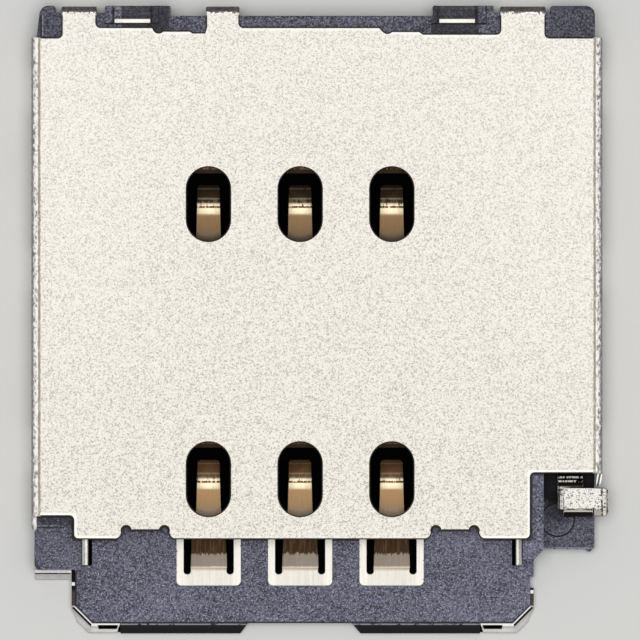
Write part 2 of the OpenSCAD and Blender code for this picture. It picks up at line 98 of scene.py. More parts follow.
class Wire:
    # one shader socket, so that values can be written as sums
    def __init__(self, tree, socket):
        self.tree = tree
        self.socket = socket

    def node(self, kind, settings=None, sockets=None, output=0):
        made = self.tree.nodes.new(kind)
        for name, value in (settings or {}).items():
            setattr(made, name, value)
        for name, value in (sockets or {}).items():
            if isinstance(value, Wire):
                self.tree.links.new(value.socket, made.inputs[name])
            else:
                made.inputs[name].default_value = value
        return Wire(self.tree, made.outputs[output])

    def sum(self, operation, first, second=0.0, third=0.0):
        return self.node("ShaderNodeMath", {"operation": operation}, {0: first, 1: second, 2: third})

    def __add__(self, other):
        return self.sum("ADD", self, other)

    def __radd__(self, other):
        return self.sum("ADD", other, self)

    def __sub__(self, other):
        return self.sum("SUBTRACT", self, other)

    def __rsub__(self, other):
        return self.sum("SUBTRACT", other, self)

    def __mul__(self, other):
        return self.sum("MULTIPLY", self, other)

    def __truediv__(self, other):
        return self.sum("DIVIDE", self, other)

    def __mod__(self, other):
        return self.sum("FLOORED_MODULO", self, other)

    def __pow__(self, other):
        return self.sum("POWER", self, other)

    def __abs__(self):
        return self.sum("ABSOLUTE", self)

    def most(self, other, ease=0.0):
        return self.sum("SMOOTH_MAX" if ease else "MAXIMUM", self, other, ease)

    def least(self, other, ease=0.0):
        return self.sum("SMOOTH_MIN" if ease else "MINIMUM", self, other, ease)

    def over(self, low, high):
        # 0 below low, 1 above high, eased between; swap the two to turn it round
        return self.node("ShaderNodeMapRange", {"interpolation_type": "SMOOTHSTEP"},
                         {"Value": self, "From Min": low, "From Max": high, "To Min": 0.0, "To Max": 1.0})

    def within(self, low, rise, fall, high):
        # 0 outside low and high, 1 between rise and fall
        return self.over(low, rise) * self.over(high, fall)

    def near(self, line, outer, inner):
        # 1 up to inner from the line, 0 further off than outer
        return abs(self - line).over(outer, inner)

    def blend(self, under, above):
        # colour under where this wire is 0, colour above where it is 1
        under = under if isinstance(under, Wire) else (*under, 1.0)
        above = above if isinstance(above, Wire) else (*above, 1.0)
        return self.node("ShaderNodeMix", {"data_type": "RGBA", "clamp_factor": True},
                         {0: self, 6: under, 7: above}, output=2)

    def noise(self, scale, detail=2.0, roughness=0.5, stretch=(1.0, 1.0, 1.0), shift=0.0):
        # this wire is the place in millimetres; scale is in grains a millimetre
        place = self.node("ShaderNodeMapping", {},
                          {"Vector": self, "Scale": stretch, "Location": (shift, shift * 0.7, 0.0)})
        return self.node("ShaderNodeTexNoise", {"noise_dimensions": "3D"},
                         {"Vector": place, "Scale": scale, "Detail": detail, "Roughness": roughness})


class Finish:
    # a material with its place wires ready, and one call that closes it
    def __init__(self, name):
        self.material = bpy.data.materials.new(name)
        self.material.use_nodes = True
        self.tree = self.material.node_tree
        self.shader = self.tree.nodes["Principled BSDF"]
        start = Wire(self.tree, None)
        place = start.node("ShaderNodeTexCoord", output="Object")
        self.place = place.node("ShaderNodeVectorMath", {"operation": "SCALE"}, {0: place, "Scale": 1 / mm})
        self.x = self.place.node("ShaderNodeSeparateXYZ", {}, {0: self.place}, output=0)
        self.y = Wire(self.tree, self.x.socket.node.outputs[1])
        self.z = Wire(self.tree, self.x.socket.node.outputs[2])
        facing = start.node("ShaderNodeNewGeometry", output="Normal")
        self.nx = facing.node("ShaderNodeSeparateXYZ", {}, {0: facing}, output=0)
        self.ny = Wire(self.tree, self.nx.socket.node.outputs[1])
        self.up = Wire(self.tree, self.nx.socket.node.outputs[2])
        self.rim = self.up.within(0.03, 0.15, 0.88, 0.985)   # eased edges, seen from above

    def insideShell(self):
        # distance in from the shell's stepped front edge
        leftY, midY, rightY = layout["fronts"]
        leftX, rightX = layout["steps"]
        inside = (self.y - midY).least(self.x - leftX, 0.16).most(self.y - leftY, 0.12)
        return inside.least((self.y - midY).least(rightX - self.x, 0.16).most(self.y - rightY, 0.12))

    def outsideApron(self, rightInset=0.0):
        # distances out from the apron's sides, its front and its cut corners
        left, right, front, corner = layout["apron"]
        outSide = (left - self.x).most(self.x - right - rightInset)
        outFront = front - self.y
        return outSide, outFront, (outSide + outFront + corner) / 2 ** 0.5

    def close(self, colour, roughness, metallic=None, height=None, bump=0.002, strength=1.0, fixed=None):
        for name, value in (("Base Color", colour), ("Roughness", roughness), ("Metallic", metallic)):
            if isinstance(value, Wire):
                self.tree.links.new(value.socket, self.shader.inputs[name])
            elif value is not None:
                self.shader.inputs[name].default_value = (*value, 1.0) if name == "Base Color" else value
        if height is not None:
            normal = height.node("ShaderNodeBump", {},
                                 {"Height": height, "Distance": bump * mm, "Strength": strength})
            self.tree.links.new(normal.socket, self.shader.inputs["Normal"])
        for name, value in (fixed or {}).items():
            self.shader.inputs[name].default_value = value
        return self.material


moulding = {
    "dark": (0.022, 0.022, 0.036),
    "pale": (0.240, 0.240, 0.340),
    "fleck": (0.46, 0.46, 0.54),
    "smooth": (0.007, 0.006, 0.007),      # painted shade: darkened faces, lines and hollows are blended to this
    "grain": 19.0,
    "roughness": 0.62,
    "glow": (1.5, 4.0, 5.8, 6.0),         # x over which the apron is paler
    "ring": (6.6, -5.55, 0.46),           # round mould mark on the ledge
    "flapShadowBack": 0.30,                    # painted shadow of the rod's flap, this far behind the middle of the mark
    "ledgeLeft": 6.2,
    "ledgeFront": -6.36,
    "channelShadeFrom": (-5.20, -4.85),         # y where the painted shade in the rod's channel starts
    "blockSide": -6.6,                    # inner side of the left block
    "blockStep": -5.70,                   # step on the left block, in front of the shell
    "blockRear": (-5.3, -5.2),
    "blockFacet": (-7.55, -6.35),         # inner corner of its facet, painted in shade
    "paleDash": (0.0, -7.15, -7.35),      # broken lines along the step: how far in front, x of their ends
    "darkDash": (-0.055, -7.00, -7.20),
    "cornerSide": (6.2, 6.5),             # the rear corners get painted shade past these x and y
    "cornerFront": (7.0, 7.6),
    "cornerLine": -7.73,                  # line along the outer side of the left rear corner
    "cornerSpan": (7.80, 7.84, 8.38, 8.50),
    "rearBlocks": ((-5.95, -5.70), (3.13, 3.30)),   # left ends of each rear block and its nail
    "blockWidth": 1.48,
    "nailWidth": 1.0,
    "nailRear": 8.42,
    "sinkFront": 8.215,                   # front of the sink round a rear nail
    "notch": (-0.55, 4.29, 0.53, 0.12, -5.83),      # front notches: middle, reach, reliefs, shear line
    "notchMouth": (0.82, 0.76),           # half width at the shell's edge
    "notchSides": (0.68, 0.64),           # and further in
    "nailLine": (-7.00, -7.06),           # the nails hold the apron in front of this
    "rightNail": (-7.95, -7.85),          # and on the right in front of this
}


def mouldedBlack():
    # glass filled moulding: granular face with pale flecks and slow flow clouds
    f = Finish("black_moulding_finish")
    smooth, pale, fleck = moulding["smooth"], moulding["pale"], moulding["fleck"]
    clouds = f.place.noise(0.8, 3.0, 0.55, (1.0, 1.3, 1.0))
    grain = f.place.noise(moulding["grain"], 2.0, 0.62)
    fibre = f.place.noise(9.0, 2.0, 0.55, (1.0, 1.5, 1.0), 3.1)
    flecks = f.place.noise(24.0, 1.0, 0.5, (1.0, 1.0, 1.0), 7.0).over(0.57, 0.68)
    worms = f.place.noise(7.5, 1.0, 0.5, (1.0, 1.0, 1.0), 11.0).near(0.5, 0.045, 0.010)
    worms = worms * fibre.over(0.46, 0.58)                  # glass fibres near the face
    rear = f.y.over(0.0, 1.0)
    front = f.y.over(0.0, -1.0)
    flat = f.up.over(0.5, 0.7)
    tone = (grain - 0.5) * (rear * 1.2 + 2.4) + (fibre - 0.5) * 0.4 + (clouds - 0.5) * 0.5 + 0.325
    tone = tone + worms * (rear * 0.85 + 0.34) + f.x.within(*moulding["glow"]) * (1 - rear) * 0.08
    colour = tone.blend(moulding["dark"], pale)
    colour = (flecks * 0.7).blend(colour, fleck)
    # painted shade: the apron stays the palest face; rear, ledge, left block and rear corners are darkened
    side = moulding["blockSide"]
    onLedge = f.x.over(moulding["ledgeLeft"] - 0.01, moulding["ledgeLeft"] + 0.02)
    shade = rear * 0.34 + front * (onLedge * 0.32 + f.x.over(side + 0.05, side - 0.05) * 0.19)
    shade = shade + f.y.over(*moulding["cornerFront"]) * abs(f.x).over(*moulding["cornerSide"]) * 0.18
    colour = shade.blend(colour, smooth)
    # painted highlight along the eased edges
    colour = (f.rim * fibre.over(0.36, 0.52) * 0.5).blend(colour, pale)
    # rear corners: painted shade on the chamfers; on the left one, painted shade in a dark line along its
    # outer side and beyond it, with a painted highlight just inside the line
    chamfer = f.up.within(0.3, 0.5, 0.93, 0.97) * rear
    colour = (chamfer * 0.45).blend(colour, smooth)
    line = moulding["cornerLine"]
    onCorner = f.y.within(*moulding["cornerSpan"]) * flat
    outside = f.x.over(line - 0.015, line - 0.035) * 0.45
    outside = outside.most(f.x.near(line, 0.040, 0.016) * 0.85)
    colour = (outside * onCorner).blend(colour, smooth)
    paleLine = f.x.near(line + 0.045, 0.024, 0.008) * onCorner * fibre.over(0.36, 0.50)
    colour = (paleLine * 0.45).blend(colour, fleck)
    # rear blocks: painted shade in lines round the sink of each nail, paler behind it
    sinkFront, nailRear = moulding["sinkFront"], moulding["nailRear"]
    behind = f.y.over(sinkFront, sinkFront + 0.03) * flat
    for block, nail in moulding["rearBlocks"]:
        blockEnd = block + moulding["blockWidth"]
        nailEnd = nail + moulding["nailWidth"]
        tail = f.x.within(nail, nail + 0.04, nailEnd - 0.04, nailEnd) * flat
        tail = tail * f.y.over(nailRear, nailRear + 0.04)
        colour = (tail * (worms * 0.45 + 0.14)).blend(colour, fleck)
        beside = f.x.within(block - 0.02, block, blockEnd - 0.01, blockEnd + 0.02) * flat
        lines = f.y.near(sinkFront, 0.034, 0.014) * beside
        for end in (nail - 0.03, nailEnd + 0.02, blockEnd):
            lines = lines.most(f.x.near(end, 0.030, 0.012) * behind)
        colour = (lines * (1.25 - fibre * 0.8)).blend(colour, smooth)
    # painted shadow: a dark line on the moulding along the shell's front edge and in its notches
    inside = f.insideShell()
    middle, reach, reliefAt, reliefR, shear = moulding["notch"]
    offNotch = abs(abs(f.x - middle) - reach)
    notches = offNotch.over(*moulding["notchMouth"]) * f.y.over(shear - 0.07, shear - 0.17)
    under = inside.within(-0.065, -0.040, 0.02, 0.06) * (1 - notches)
    relief = ((offNotch - reliefAt) ** 2.0 + (f.y - shear) ** 2.0) ** 0.5 - reliefR
    inNotch = (f.y - shear).least(relief).over(-0.065, -0.030) * offNotch.over(*moulding["notchSides"])
    under = under.most(inNotch * f.y.over(shear - 0.15, shear - 0.07) * 0.9)
    colour = (under * flat * 0.8).blend(colour, smooth)
    # a broken painted highlight along the ledge's front edge
    ledgeEdge = f.y.near(moulding["ledgeFront"] + 0.025, 0.030, 0.012) * onLedge * fibre.over(0.34, 0.50)
    colour = (ledgeEdge * flat * 0.45).blend(colour, fleck)
    # left block: a strip of painted shade behind its step under the shell's edge, a broken painted highlight
    # and a broken line of painted shade along the step, and painted shade on its tilted corner facet
    step = moulding["blockStep"]
    onBlock = f.x.over(side - 0.10, side - 0.20) * flat
    strip = onBlock * f.y.within(step - 0.01, step + 0.03, *moulding["blockRear"])
    colour = (strip * (0.75 - fibre.over(0.50, 0.62) * 0.4)).blend(colour, smooth)
    off, dashFrom, dashFull = moulding["paleDash"]
    paleDash = f.y.near(step + off, 0.030, 0.012) * f.x.over(dashFrom, dashFull) * fibre.over(0.42, 0.50)
    colour = (paleDash * onBlock * 0.45).blend(colour, fleck)
    off, dashFrom, dashFull = moulding["darkDash"]
    darkDash = f.y.near(step + off, 0.030, 0.012) * f.x.over(dashFrom, dashFull) * fibre.over(0.40, 0.48)
    colour = (darkDash * onBlock * 0.80).blend(colour, smooth)
    facetX, facetY = moulding["blockFacet"]
    facet = f.x.over(facetX, facetX - 0.10) * f.y.over(facetY, facetY - 0.10)
    colour = (facet * f.up.within(0.4, 0.5, 0.80, 0.90) * 0.62).blend(colour, smooth)
    # the apron's outline is a line of painted shade in the gap beside the nails
    outSide, outFront, outCorner = f.outsideApron(f.y.over(*moulding["rightNail"]))
    out = outSide.most(outFront).most(outCorner)
    border = out.over(-0.052, -0.030) * f.y.over(*moulding["nailLine"]) * flat
    colour = (border * 0.92).blend(colour, smooth)
    # painted shade in the rod's channel under the shell, and a painted shadow of the rod's flap round the
    # mark
    ringX, ringY, ringR = moulding["ring"]
    away = ((f.x - ringX) ** 2.0 + (f.y - ringY) ** 2.0) ** 0.5
    flapShadow = ((f.x - ringX) ** 2.0 + (f.y - ringY - moulding["flapShadowBack"]) ** 2.0) ** 0.5
    floorTop = onLedge * f.z.over(0.66, 0.60) * f.up.over(0.5, 0.8)
    paintedLighting = floorTop * (f.y.over(*moulding["channelShadeFrom"]) + flapShadow.over(0.55, 0.15) * 0.75)
    colour = (paintedLighting * 0.96).blend(colour, smooth)
    # round mould mark: painted shade in its groove and a painted highlight on its inner rim
    onMark = onLedge * f.z.over(0.62, 0.58)
    rim = away.near(ringR - 0.05, 0.035, 0.01) * onMark
    colour = (rim * (1 - paintedLighting) * 0.30).blend(colour, pale)
    colour = (away.near(ringR, 0.034, 0.014) * onMark * 0.9).blend(colour, smooth)
    # front lip: painted shade on the sloping lip, under a broken painted highlight along its edge
    lip = layout["apron"][2]
    lipLine = f.y.near(lip - 0.034, 0.026, 0.010) * f.z.over(0.20, 0.24) * fibre.over(0.30, 0.50)
    colour = (f.y.over(lip + 0.005, lip - 0.015) * 0.95).blend(colour, smooth)
    colour = (lipLine * 0.75).blend(colour, fleck)
    rough = moulding["roughness"] + (grain - 0.5) * 0.3 + paintedLighting * 0.2
    height = grain * 0.7 + fibre * 0.3
    return f.close(colour, rough, 0.0, height, 0.006, 0.8, {"Specular IOR Level": 0.22})


steel = {
    "pale": (0.860, 0.836, 0.778),
    "pit": (0.455, 0.445, 0.395),
    "speck": (0.965, 0.940, 0.870),
    "cut": (0.040, 0.031, 0.027),
    "bend": (0.100, 0.083, 0.077),
    "side": (0.20, 0.185, 0.185),
    "wall": (0.56, 0.54, 0.53),
    "tan": (0.40, 0.345, 0.275),
    "glint": (1.0, 0.985, 0.96),
    "grain": 23.0,
    "roughness": 0.72,
    "middle": -0.085,                     # x of the middle of the shell
    "bendAt": 7.63,                       # where its side bends start, from that middle
    "bendLine": 7.695,                    # dark line along their start
    "bendWidth": 0.2,
    "tabAt": 8.42,                        # where the rear tabs bend
    "rear": 8.12,                         # y of the rear edge, left of its dips
    "dips": ((1.65, 1.75, 0.11), (2.75, 2.87, 0.075)),   # ends of each dip's slope, and how far it goes
    "sag": (-4.67, -4.57, -3.24, -3.14),  # x of the notch between the left tabs
    "sagDepth": 0.10,
    "rearSpan": (-6.19, -6.14, 4.94, 4.99),
    "middleTab": (-3.24, -3.14, -2.25, -2.20),
    "streaks": (7.713, 7.82),             # painted highlights on the right wall's front end
}


def pebbledSteel():
    # matt blasted sheet: dense fine pits, with painted highlights and painted shade along its edges and
    # where it is bent
    f = Finish("shell_steel_finish")
    glint = steel["glint"]
    grain = f.place.noise(steel["grain"], 1.0, 0.55)
    fine = f.place.noise(30.0, 1.0, 0.5, (1.0, 1.0, 1.0), 4.0)
    broad = f.place.noise(3.0, 2.0, 0.5, (1.0, 1.0, 1.0), 9.0)
    beads = f.place.noise(11.0, 2.0, 0.65, (1.0, 0.9, 1.0), 6.0)
    specks = f.place.noise(15.0, 2.0, 0.6, (1.0, 0.55, 1.0), 13.0)
    tone = (grain - 0.5) * 3.4 + (fine - 0.5) * 1.1 + (broad - 0.5) * 0.15 + 0.84
    colour = tone.blend(steel["pit"], steel["pale"])
    colour = (fine.over(0.50, 0.70) * 0.55).blend(colour, steel["speck"])
    # painted light: it is a little brighter to the rear and the sides
    reach = abs(f.x - steel["middle"])
    bright = f.y.over(-6.0, 9.0) * 0.15 + reach.over(2.0, 8.0) * f.y.over(-5.0, 1.0) * 0.08
    colour = bright.blend(colour, glint)
    # sheared edges are dark lines, partly painted shade; painted highlights run just inside them along the
    # front and the rear
    side = reach.over(steel["bendAt"], steel["bendAt"] + 0.05)
    back = f.y.over(steel["tabAt"], steel["tabAt"] + 0.05)
    flat = f.up.over(0.97, 0.99)
    cut = f.up.within(0.03, 0.15, 0.95, 0.995)
    colour = (cut * (1 - side) * (1 - back) * 0.95).blend(colour, steel["cut"])
    edgeHighlight = f.insideShell().within(0.02, 0.05, 0.075, 0.115) * flat
    # the painted highlight along the front is stronger towards the left and right
    wearAndSheen = f.x.over(-3.6, -5.0) + f.x.over(2.6, 4.2)
    colour = (edgeHighlight * (wearAndSheen * 0.6 + 0.2)).blend(colour, glint)
    rear = steel["rear"] - f.x.within(*steel["sag"]) * steel["sagDepth"]
    for start, end, depth in steel["dips"]:
        rear = rear - f.x.over(start, end) * depth
    between = f.x.within(*steel["rearSpan"]) * (1 - f.x.within(*steel["middleTab"]))
    # painted highlight just inside the rear edge, between the tabs
    paintedLighting = (rear - f.y).within(0.03, 0.06, 0.085, 0.125) * between * flat
    colour = (paintedLighting * 0.55).blend(colour, glint)
    # side bends: a tan start line of painted shade, a band of painted highlight made less metallic, then a
    # mottled grey outside in painted shade
    line = steel["bendLine"]
    onBend = side * f.up.over(0.02, 0.20)
    outer = onBend * reach.over(line + 0.02, line + 0.04)
    far = (reach - line + (beads - 0.5) * 0.12) / steel["bendWidth"]
    band = outer * far.over(0.92, 0.72)
    light = (specks - 0.5) * 4.5 + 1.30 - far * 0.9 - f.x.over(-1.0, 1.0) * 0.15
    colour = outer.blend(colour, ((beads - 0.5) * 3.0 + 0.45).blend(steel["side"], steel["wall"]))
    colour = band.blend(colour, light.blend(steel["side"], glint))
    startLine = (reach + (beads - 0.5) * 0.06).near(line, 0.052, 0.016) * f.up.over(0.80, 0.92)
    colour = (startLine * (2.2 - specks * 2.4)).blend(colour, steel["tan"])
    # the right wall's front end is painted in shade, with two streaks of painted highlight
    rightY = layout["fronts"][2]
    skew = f.x - (f.y - rightY) * 0.2
    first, second = steel["streaks"]
    streak = skew.near(first, 0.036, 0.014) + skew.near(second, 0.036, 0.014)
    wallEnd = onBend * f.x.over(7.0, 7.2) * f.y.over(rightY, rightY - 0.03)
    colour = wallEnd.blend(colour, streak.blend(steel["bend"], glint))
    # rear bends: brown painted shade past a ragged line, with painted glints along it
    ragged = f.y - steel["tabAt"] + (beads - 0.5) * 0.16
    darkening = ragged.over(0.05, 0.09) * f.up.over(0.03, 0.12)
    spark = ragged.within(0.06, 0.08, 0.10, 0.13) * specks.over(0.44, 0.52)
    colour = darkening.blend(colour, ((beads - 0.5) * 3.0 + 0.5).blend(steel["bend"], steel["side"]))
    colour = (spark * 0.8).blend(colour, glint)
    rough = steel["roughness"] + (fine - 0.5) * 0.2 - outer * 0.12 - darkening * 0.15
    height = grain + fine * 0.4
    return f.close(colour, rough, 1 - band * 0.85, height, 0.004, 0.6)


plating = {
    "nickel": (0.80, 0.78, 0.725),
    "rail": (0.92, 0.90, 0.85),
    "rootHighlight": (0.66, 0.58, 0.465),
    "tan": (0.355, 0.300, 0.250),
    "brown": (0.075, 0.043, 0.023),
    "hair": (0.170, 0.105, 0.055),
    "grey": (0.44, 0.35, 0.26),
    "gold": (0.54, 0.345, 0.180),
    "crown": (0.50, 0.415, 0.265),
    "glint": (0.66, 0.60, 0.46),
    "tip": (0.40, 0.215, 0.100),
    "dull": (0.115, 0.077, 0.045),
    "bar": (0.024, 0.015, 0.009),
    "roughness": 0.70,
    "creaseAt": -2.495,
    "tipLines": (0.155, 0.43),            # a gold and a pale painted highlight line on the tip
}

# where each zone along a contact starts, from the middle of its window
zones = {
    "rootHighlight": (-2.57, -2.53),
    "root": (-2.46, -2.41),
    "steep": (-2.11, -2.06),
    "shown": (-1.5, -1.1),
    "warm": (-1.0, -0.6),
    "top": (-0.36, -0.23),
    "behindCrown": (-0.118, -0.098),
    "falling": (0.04, 0.06),
    "shadedBar": (0.66, 0.72),                 # strip behind the beam's tip, painted in shade under the shell
    "hairs": (0.94, 1.02),
}


def contactPlating():
    # rolled strip: pale plating on the frame, gold over the sprung beam, with painted shade and painted
    # highlights along the beam
    f = Finish("contact_plating_finish")
    brown, gold, glint = plating["brown"], plating["gold"], plating["glint"]
    rowGap, pitch = layout["rowGap"], layout["pitch"]
    along = (f.y - layout["row"] + rowGap / 2) % rowGap - rowGap / 2
    across = (f.x - layout["column"] + pitch / 2) % pitch - pitch / 2
    rolled = f.place.noise(22.0, 2.0, 0.6, (1.0, 0.04, 0.3))
    teeth = f.place.noise(17.0, 2.0, 0.6, (1.0, 0.30, 0.3), 4.0)
    fine = f.place.noise(18.0, 3.0, 0.6)
    rearRow = f.y.over(-0.5, 0.5)
    beam = abs(across).over(0.60, 0.53)
    # zones along the beam, from its root to its tip, in painted light: a highlight at the root, shade on the
    # slopes and the rear row, a highlight on the crown
    rootHighlight = along.over(*zones["rootHighlight"]) * beam
    root = (along + (fine - 0.5) * 0.05).over(*zones["root"]) * beam
    steep = (along + (rolled - 0.5) * 0.28).over(*zones["steep"]) * beam
    shown = along.over(*zones["shown"]) * beam
    toothed = along + (teeth - 0.5) * 0.03
    top = toothed.over(*zones["top"]) * beam
    behindCrown = toothed.over(*zones["behindCrown"]) * beam
    falling = along.over(*zones["falling"]) * beam
    colour = ((rolled - 0.5).over(0.0, 0.35) * 0.12).blend(plating["nickel"], plating["tan"])
    # painted highlight: the side rails are lightened
    colour = (abs(across).over(0.62, 0.70) * 0.6).blend(colour, plating["rail"])
    colour = (rootHighlight * 0.8).blend(colour, plating["rootHighlight"])
    # a line of painted shade along the bend
    crease = (along + (fine - 0.5) * 0.06).near(plating["creaseAt"], 0.020, 0.006) * beam
    colour = (crease * 0.5).blend(colour, plating["tan"])
    colour = root.blend(colour, plating["tan"])
    colour = steep.blend(colour, (rolled.over(0.46, 0.66) * 0.8).blend(brown, plating["hair"]))
    body = along.over(*zones["warm"]).blend(plating["grey"], gold)
    # painted shade: the rear row's beams are darker
    body = (rearRow * 0.42).blend(body, brown)
    body = ((rolled - 0.5) * 0.5).blend(body, brown)
    colour = shown.blend(colour, body)
    colour = top.blend(colour, (along.over(-0.26, -0.12) * 0.5).blend(plating["crown"], glint))
    # behind the crown: a band of painted shade, with a row of painted glints
    band = teeth.over(0.50, 0.66).blend(brown, gold)
    glinting = along.within(-0.055, -0.035, 0.030, 0.050) * teeth.over(0.32, 0.46)
    colour = behindCrown.blend(colour, glinting.blend(band, glint))
    # falling tip: painted shade, darker on the rear row, striped at first, with a gold and a pale painted
    # highlight line near its end
    tip = (rearRow * 0.9).blend(plating["tip"], plating["dull"])
    stripes = teeth.over(0.46, 0.60) * along.over(0.20, 0.15)
    tip = (stripes * 0.8).blend(tip, gold)
    first, second = plating["tipLines"]
    lines = along.near(first, 0.030, 0.010) * 0.9 + along.near(second, 0.026, 0.008) * 0.6
    lines = lines * teeth.over(0.28, 0.46)
    tip = (lines * abs(across).over(0.34, 0.28)).blend(tip, glint)
    colour = falling.blend(colour, tip)
    # painted shade on the bar behind the tip, with painted gold highlights at its far edge
    hairs = along.over(*zones["hairs"]) * rolled.over(0.44, 0.62)
    colour = along.over(*zones["shadedBar"]).blend(colour, (hairs * 0.5).blend(plating["bar"], gold))
    # stamped edges get brown painted shade on their right, and plastic flash nibbles at the frame
    colour = (f.rim * f.nx.over(0.1, 0.4) * 0.75).blend(colour, brown)
    edge = abs(across).over(layout["frameHalf"] - 0.09, layout["frameHalf"] - 0.01)
    flash = (edge * 0.6 + (fine - 0.5) * 1.9).over(0.74, 0.86) * f.z.over(0.30, 0.34)
    colour = flash.blend(colour, moulding["dark"])
    rough = plating["roughness"] - shown * 0.2 + (rolled - 0.5) * 0.16 + (fine - 0.5) * 0.10
    height = rolled * 0.7 + fine * 0.4
    return f.close(colour, rough, 1 - flash, height, 0.002, 0.5)


rodSteel = {
    "pale": (0.97, 0.95, 0.90),
    "face": (0.870, 0.852, 0.805),
    "pit": (0.10, 0.09, 0.08),
    "dark": (0.020, 0.015, 0.012),
    "grain": 23.0,
    "roughness": 0.70,
    "glintRows": (-4.36, -4.47),          # on the neck
    "frontLine": -5.245,
    "foldSide": 7.55,                     # where the side fold starts
    "slopes": (-5.1, -5.2),               # the front slope has a glint past these
}


def foldedSteel():
    # coarse blasted strip: painted shade in thin lines where folds start and on the slopes, with painted
    # glints in beads
    f = Finish("rod_steel_finish")
    pale, pit, dark = rodSteel["pale"], rodSteel["pit"], rodSteel["dark"]
    grain = f.place.noise(rodSteel["grain"], 2.0, 0.6, (1.0, 1.0, 1.0), 2.0)
    beads = f.place.noise(10.0, 2.0, 0.6, (1.0, 1.0, 1.0), 5.0)
    pits = (0.5 - grain) * 6.5 - 0.05
    broken = beads.over(0.62, 0.50)
    colour = pits.blend(rodSteel["face"], pit)
    # painted shade: the side fold's front corner is darker, and a broken dark line runs along the front
    # fold's start
    frontLine, foldSide = rodSteel["frontLine"], rodSteel["foldSide"]
    corner = f.y.over(frontLine - 0.01, frontLine - 0.03) * f.x.over(foldSide, foldSide + 0.05)
    colour = (corner * 0.5).blend(colour, pit)
    line = f.y.near(frontLine, 0.028, 0.012) * f.up.over(0.5, 0.7)
    colour = (line * broken * 0.9).blend(colour, dark)
    # ridges are the eased folds along the sides, painted pale as highlights and made less metallic, with
    # dark specks and dark start lines
    sideways = abs(f.nx)
    ridge = sideways.within(0.30, 0.38, 0.70, 0.80) * f.up.over(0.3, 0.5)
    colour = (ridge * 0.9).blend(colour, pits.blend(pale, pit))
    colour = (ridge * beads.over(0.56, 0.64) * 0.8).blend(colour, dark)
    startLine = sideways.near(0.20, 0.13, 0.06) + sideways.near(0.84, 0.09, 0.04)
    colour = (startLine * f.up.over(0.1, 0.3) * broken * 0.9).blend(colour, dark)
    # painted shade on the slopes
    slope = abs(f.ny).over(0.16, 0.30) * f.up.over(0.02, 0.10)
    colour = slope.blend(colour, dark)
    # painted glints: two beaded rows on the neck and a line on the front slope
    first, second = rodSteel["glintRows"]
    glint = f.y.near(first, 0.035, 0.018) + f.y.near(second, 0.035, 0.018)
    glint = glint * f.place.noise(13.0, 1.0, 0.5, (1.0, 0.5, 0.2), 3.0).over(0.46, 0.52)
    dull = (ridge * 0.8).most(glint * 0.9)
    glint = glint + f.ny.near(-0.36, 0.10, 0.05) * f.y.over(*rodSteel["slopes"]) * 0.8
    colour = (glint * f.up.over(0.3, 0.5)).blend(colour, pale)
    rough = rodSteel["roughness"] + (grain - 0.5) * 0.3 - slope * 0.1
    return f.close(colour, rough, 1 - dull, grain + beads * 0.3, 0.006, 0.6)


tin = {
    "pale": (0.82, 0.81, 0.79),
    "pit": (0.50, 0.49, 0.485),
    "foot": (0.34, 0.335, 0.34),
    "dark": (0.012, 0.010, 0.010),
    "brown": (0.075, 0.062, 0.056),
    "bar": (0.90, 0.87, 0.79),            # top edges of the rear nails
    "roughness": 0.66,
    "footTop": (0.20, 0.16),              # z
    "legTop": (0.30, 0.36),
    "legOut": (0.112, 0.104),             # how far a leg stands out from the apron
    "darkening": (-7.60, -7.45),              # y over which the legs turn from brown to dark
    "foldLine": -7.045,                   # between the left foot and its leg
    "glints": (-7.33, -7.55),             # y on the left and the right leg
}


def solderTin():
    # tinned strip, dark down its legs, with painted shade in the fold between leg and foot and painted
    # glints on the legs
    f = Finish("nail_tin_finish")
    pale, dark = tin["pale"], tin["dark"]
    pits = f.place.noise(13.0, 3.0, 0.66, (1.0, 1.0, 1.0), 2.0)
    beads = f.place.noise(5.0, 2.0, 0.6, (1.0, 1.0, 1.0), 8.0)
    colour = ((0.50 - pits) * 2.5 + (0.5 - beads) * 0.9).blend(pale, tin["pit"])
    left, _, front, corner = layout["apron"]
    outSide, outFront, outCorner = f.outsideApron()
    outStraight = outSide.most(outFront)
    out = outStraight.most(outCorner)
    atFront = f.y.over(0.0, -1.0)
    colour = (f.z.over(*tin["footTop"]) * atFront * (0.75 - pits * 0.5)).blend(colour, tin["foot"])
    colour = ((1 - atFront) * f.up.over(0.7, 0.9) * 0.8).blend(colour, tin["bar"])
    legTop = f.z.over(*tin["legTop"]) * out.over(*tin["legOut"]) * atFront
    onCorner = (outCorner - outStraight).over(-0.004, 0.012)
    onSide = f.y.over(front + corner - 0.05, front + corner + 0.03)
    # painted shade in the groove between leg and foot on the cut corners
    groove = legTop * onCorner * out.over(0.036, 0.048)
    colour = groove.blend(colour, dark)
    # the legs' tops are brown at the front and dark further back
    darkening = f.y.over(*tin["darkening"]).blend(tin["brown"], dark)
    colour = (legTop * onSide).blend(colour, darkening)
    # a painted glint on each leg
    leftGlint, rightGlint = tin["glints"]
    glintAt = f.x.over(-1.0, 1.0) * (rightGlint - leftGlint) + leftGlint
    colour = (legTop * onSide * f.y.near(glintAt, 0.06, 0.03)).blend(colour, pale)
    # painted shade in the fold between the left foot and its leg
    fold = f.y.near(tin["foldLine"], 0.026, 0.010) * f.x.over(left - 0.12, left - 0.16)
    colour = (fold * (1.3 - beads * 0.8)).blend(colour, dark)
    rough = tin["roughness"] + (pits - 0.5) * 0.3
    return f.close(colour, rough, 1.0, pits, 0.004, 0.6)


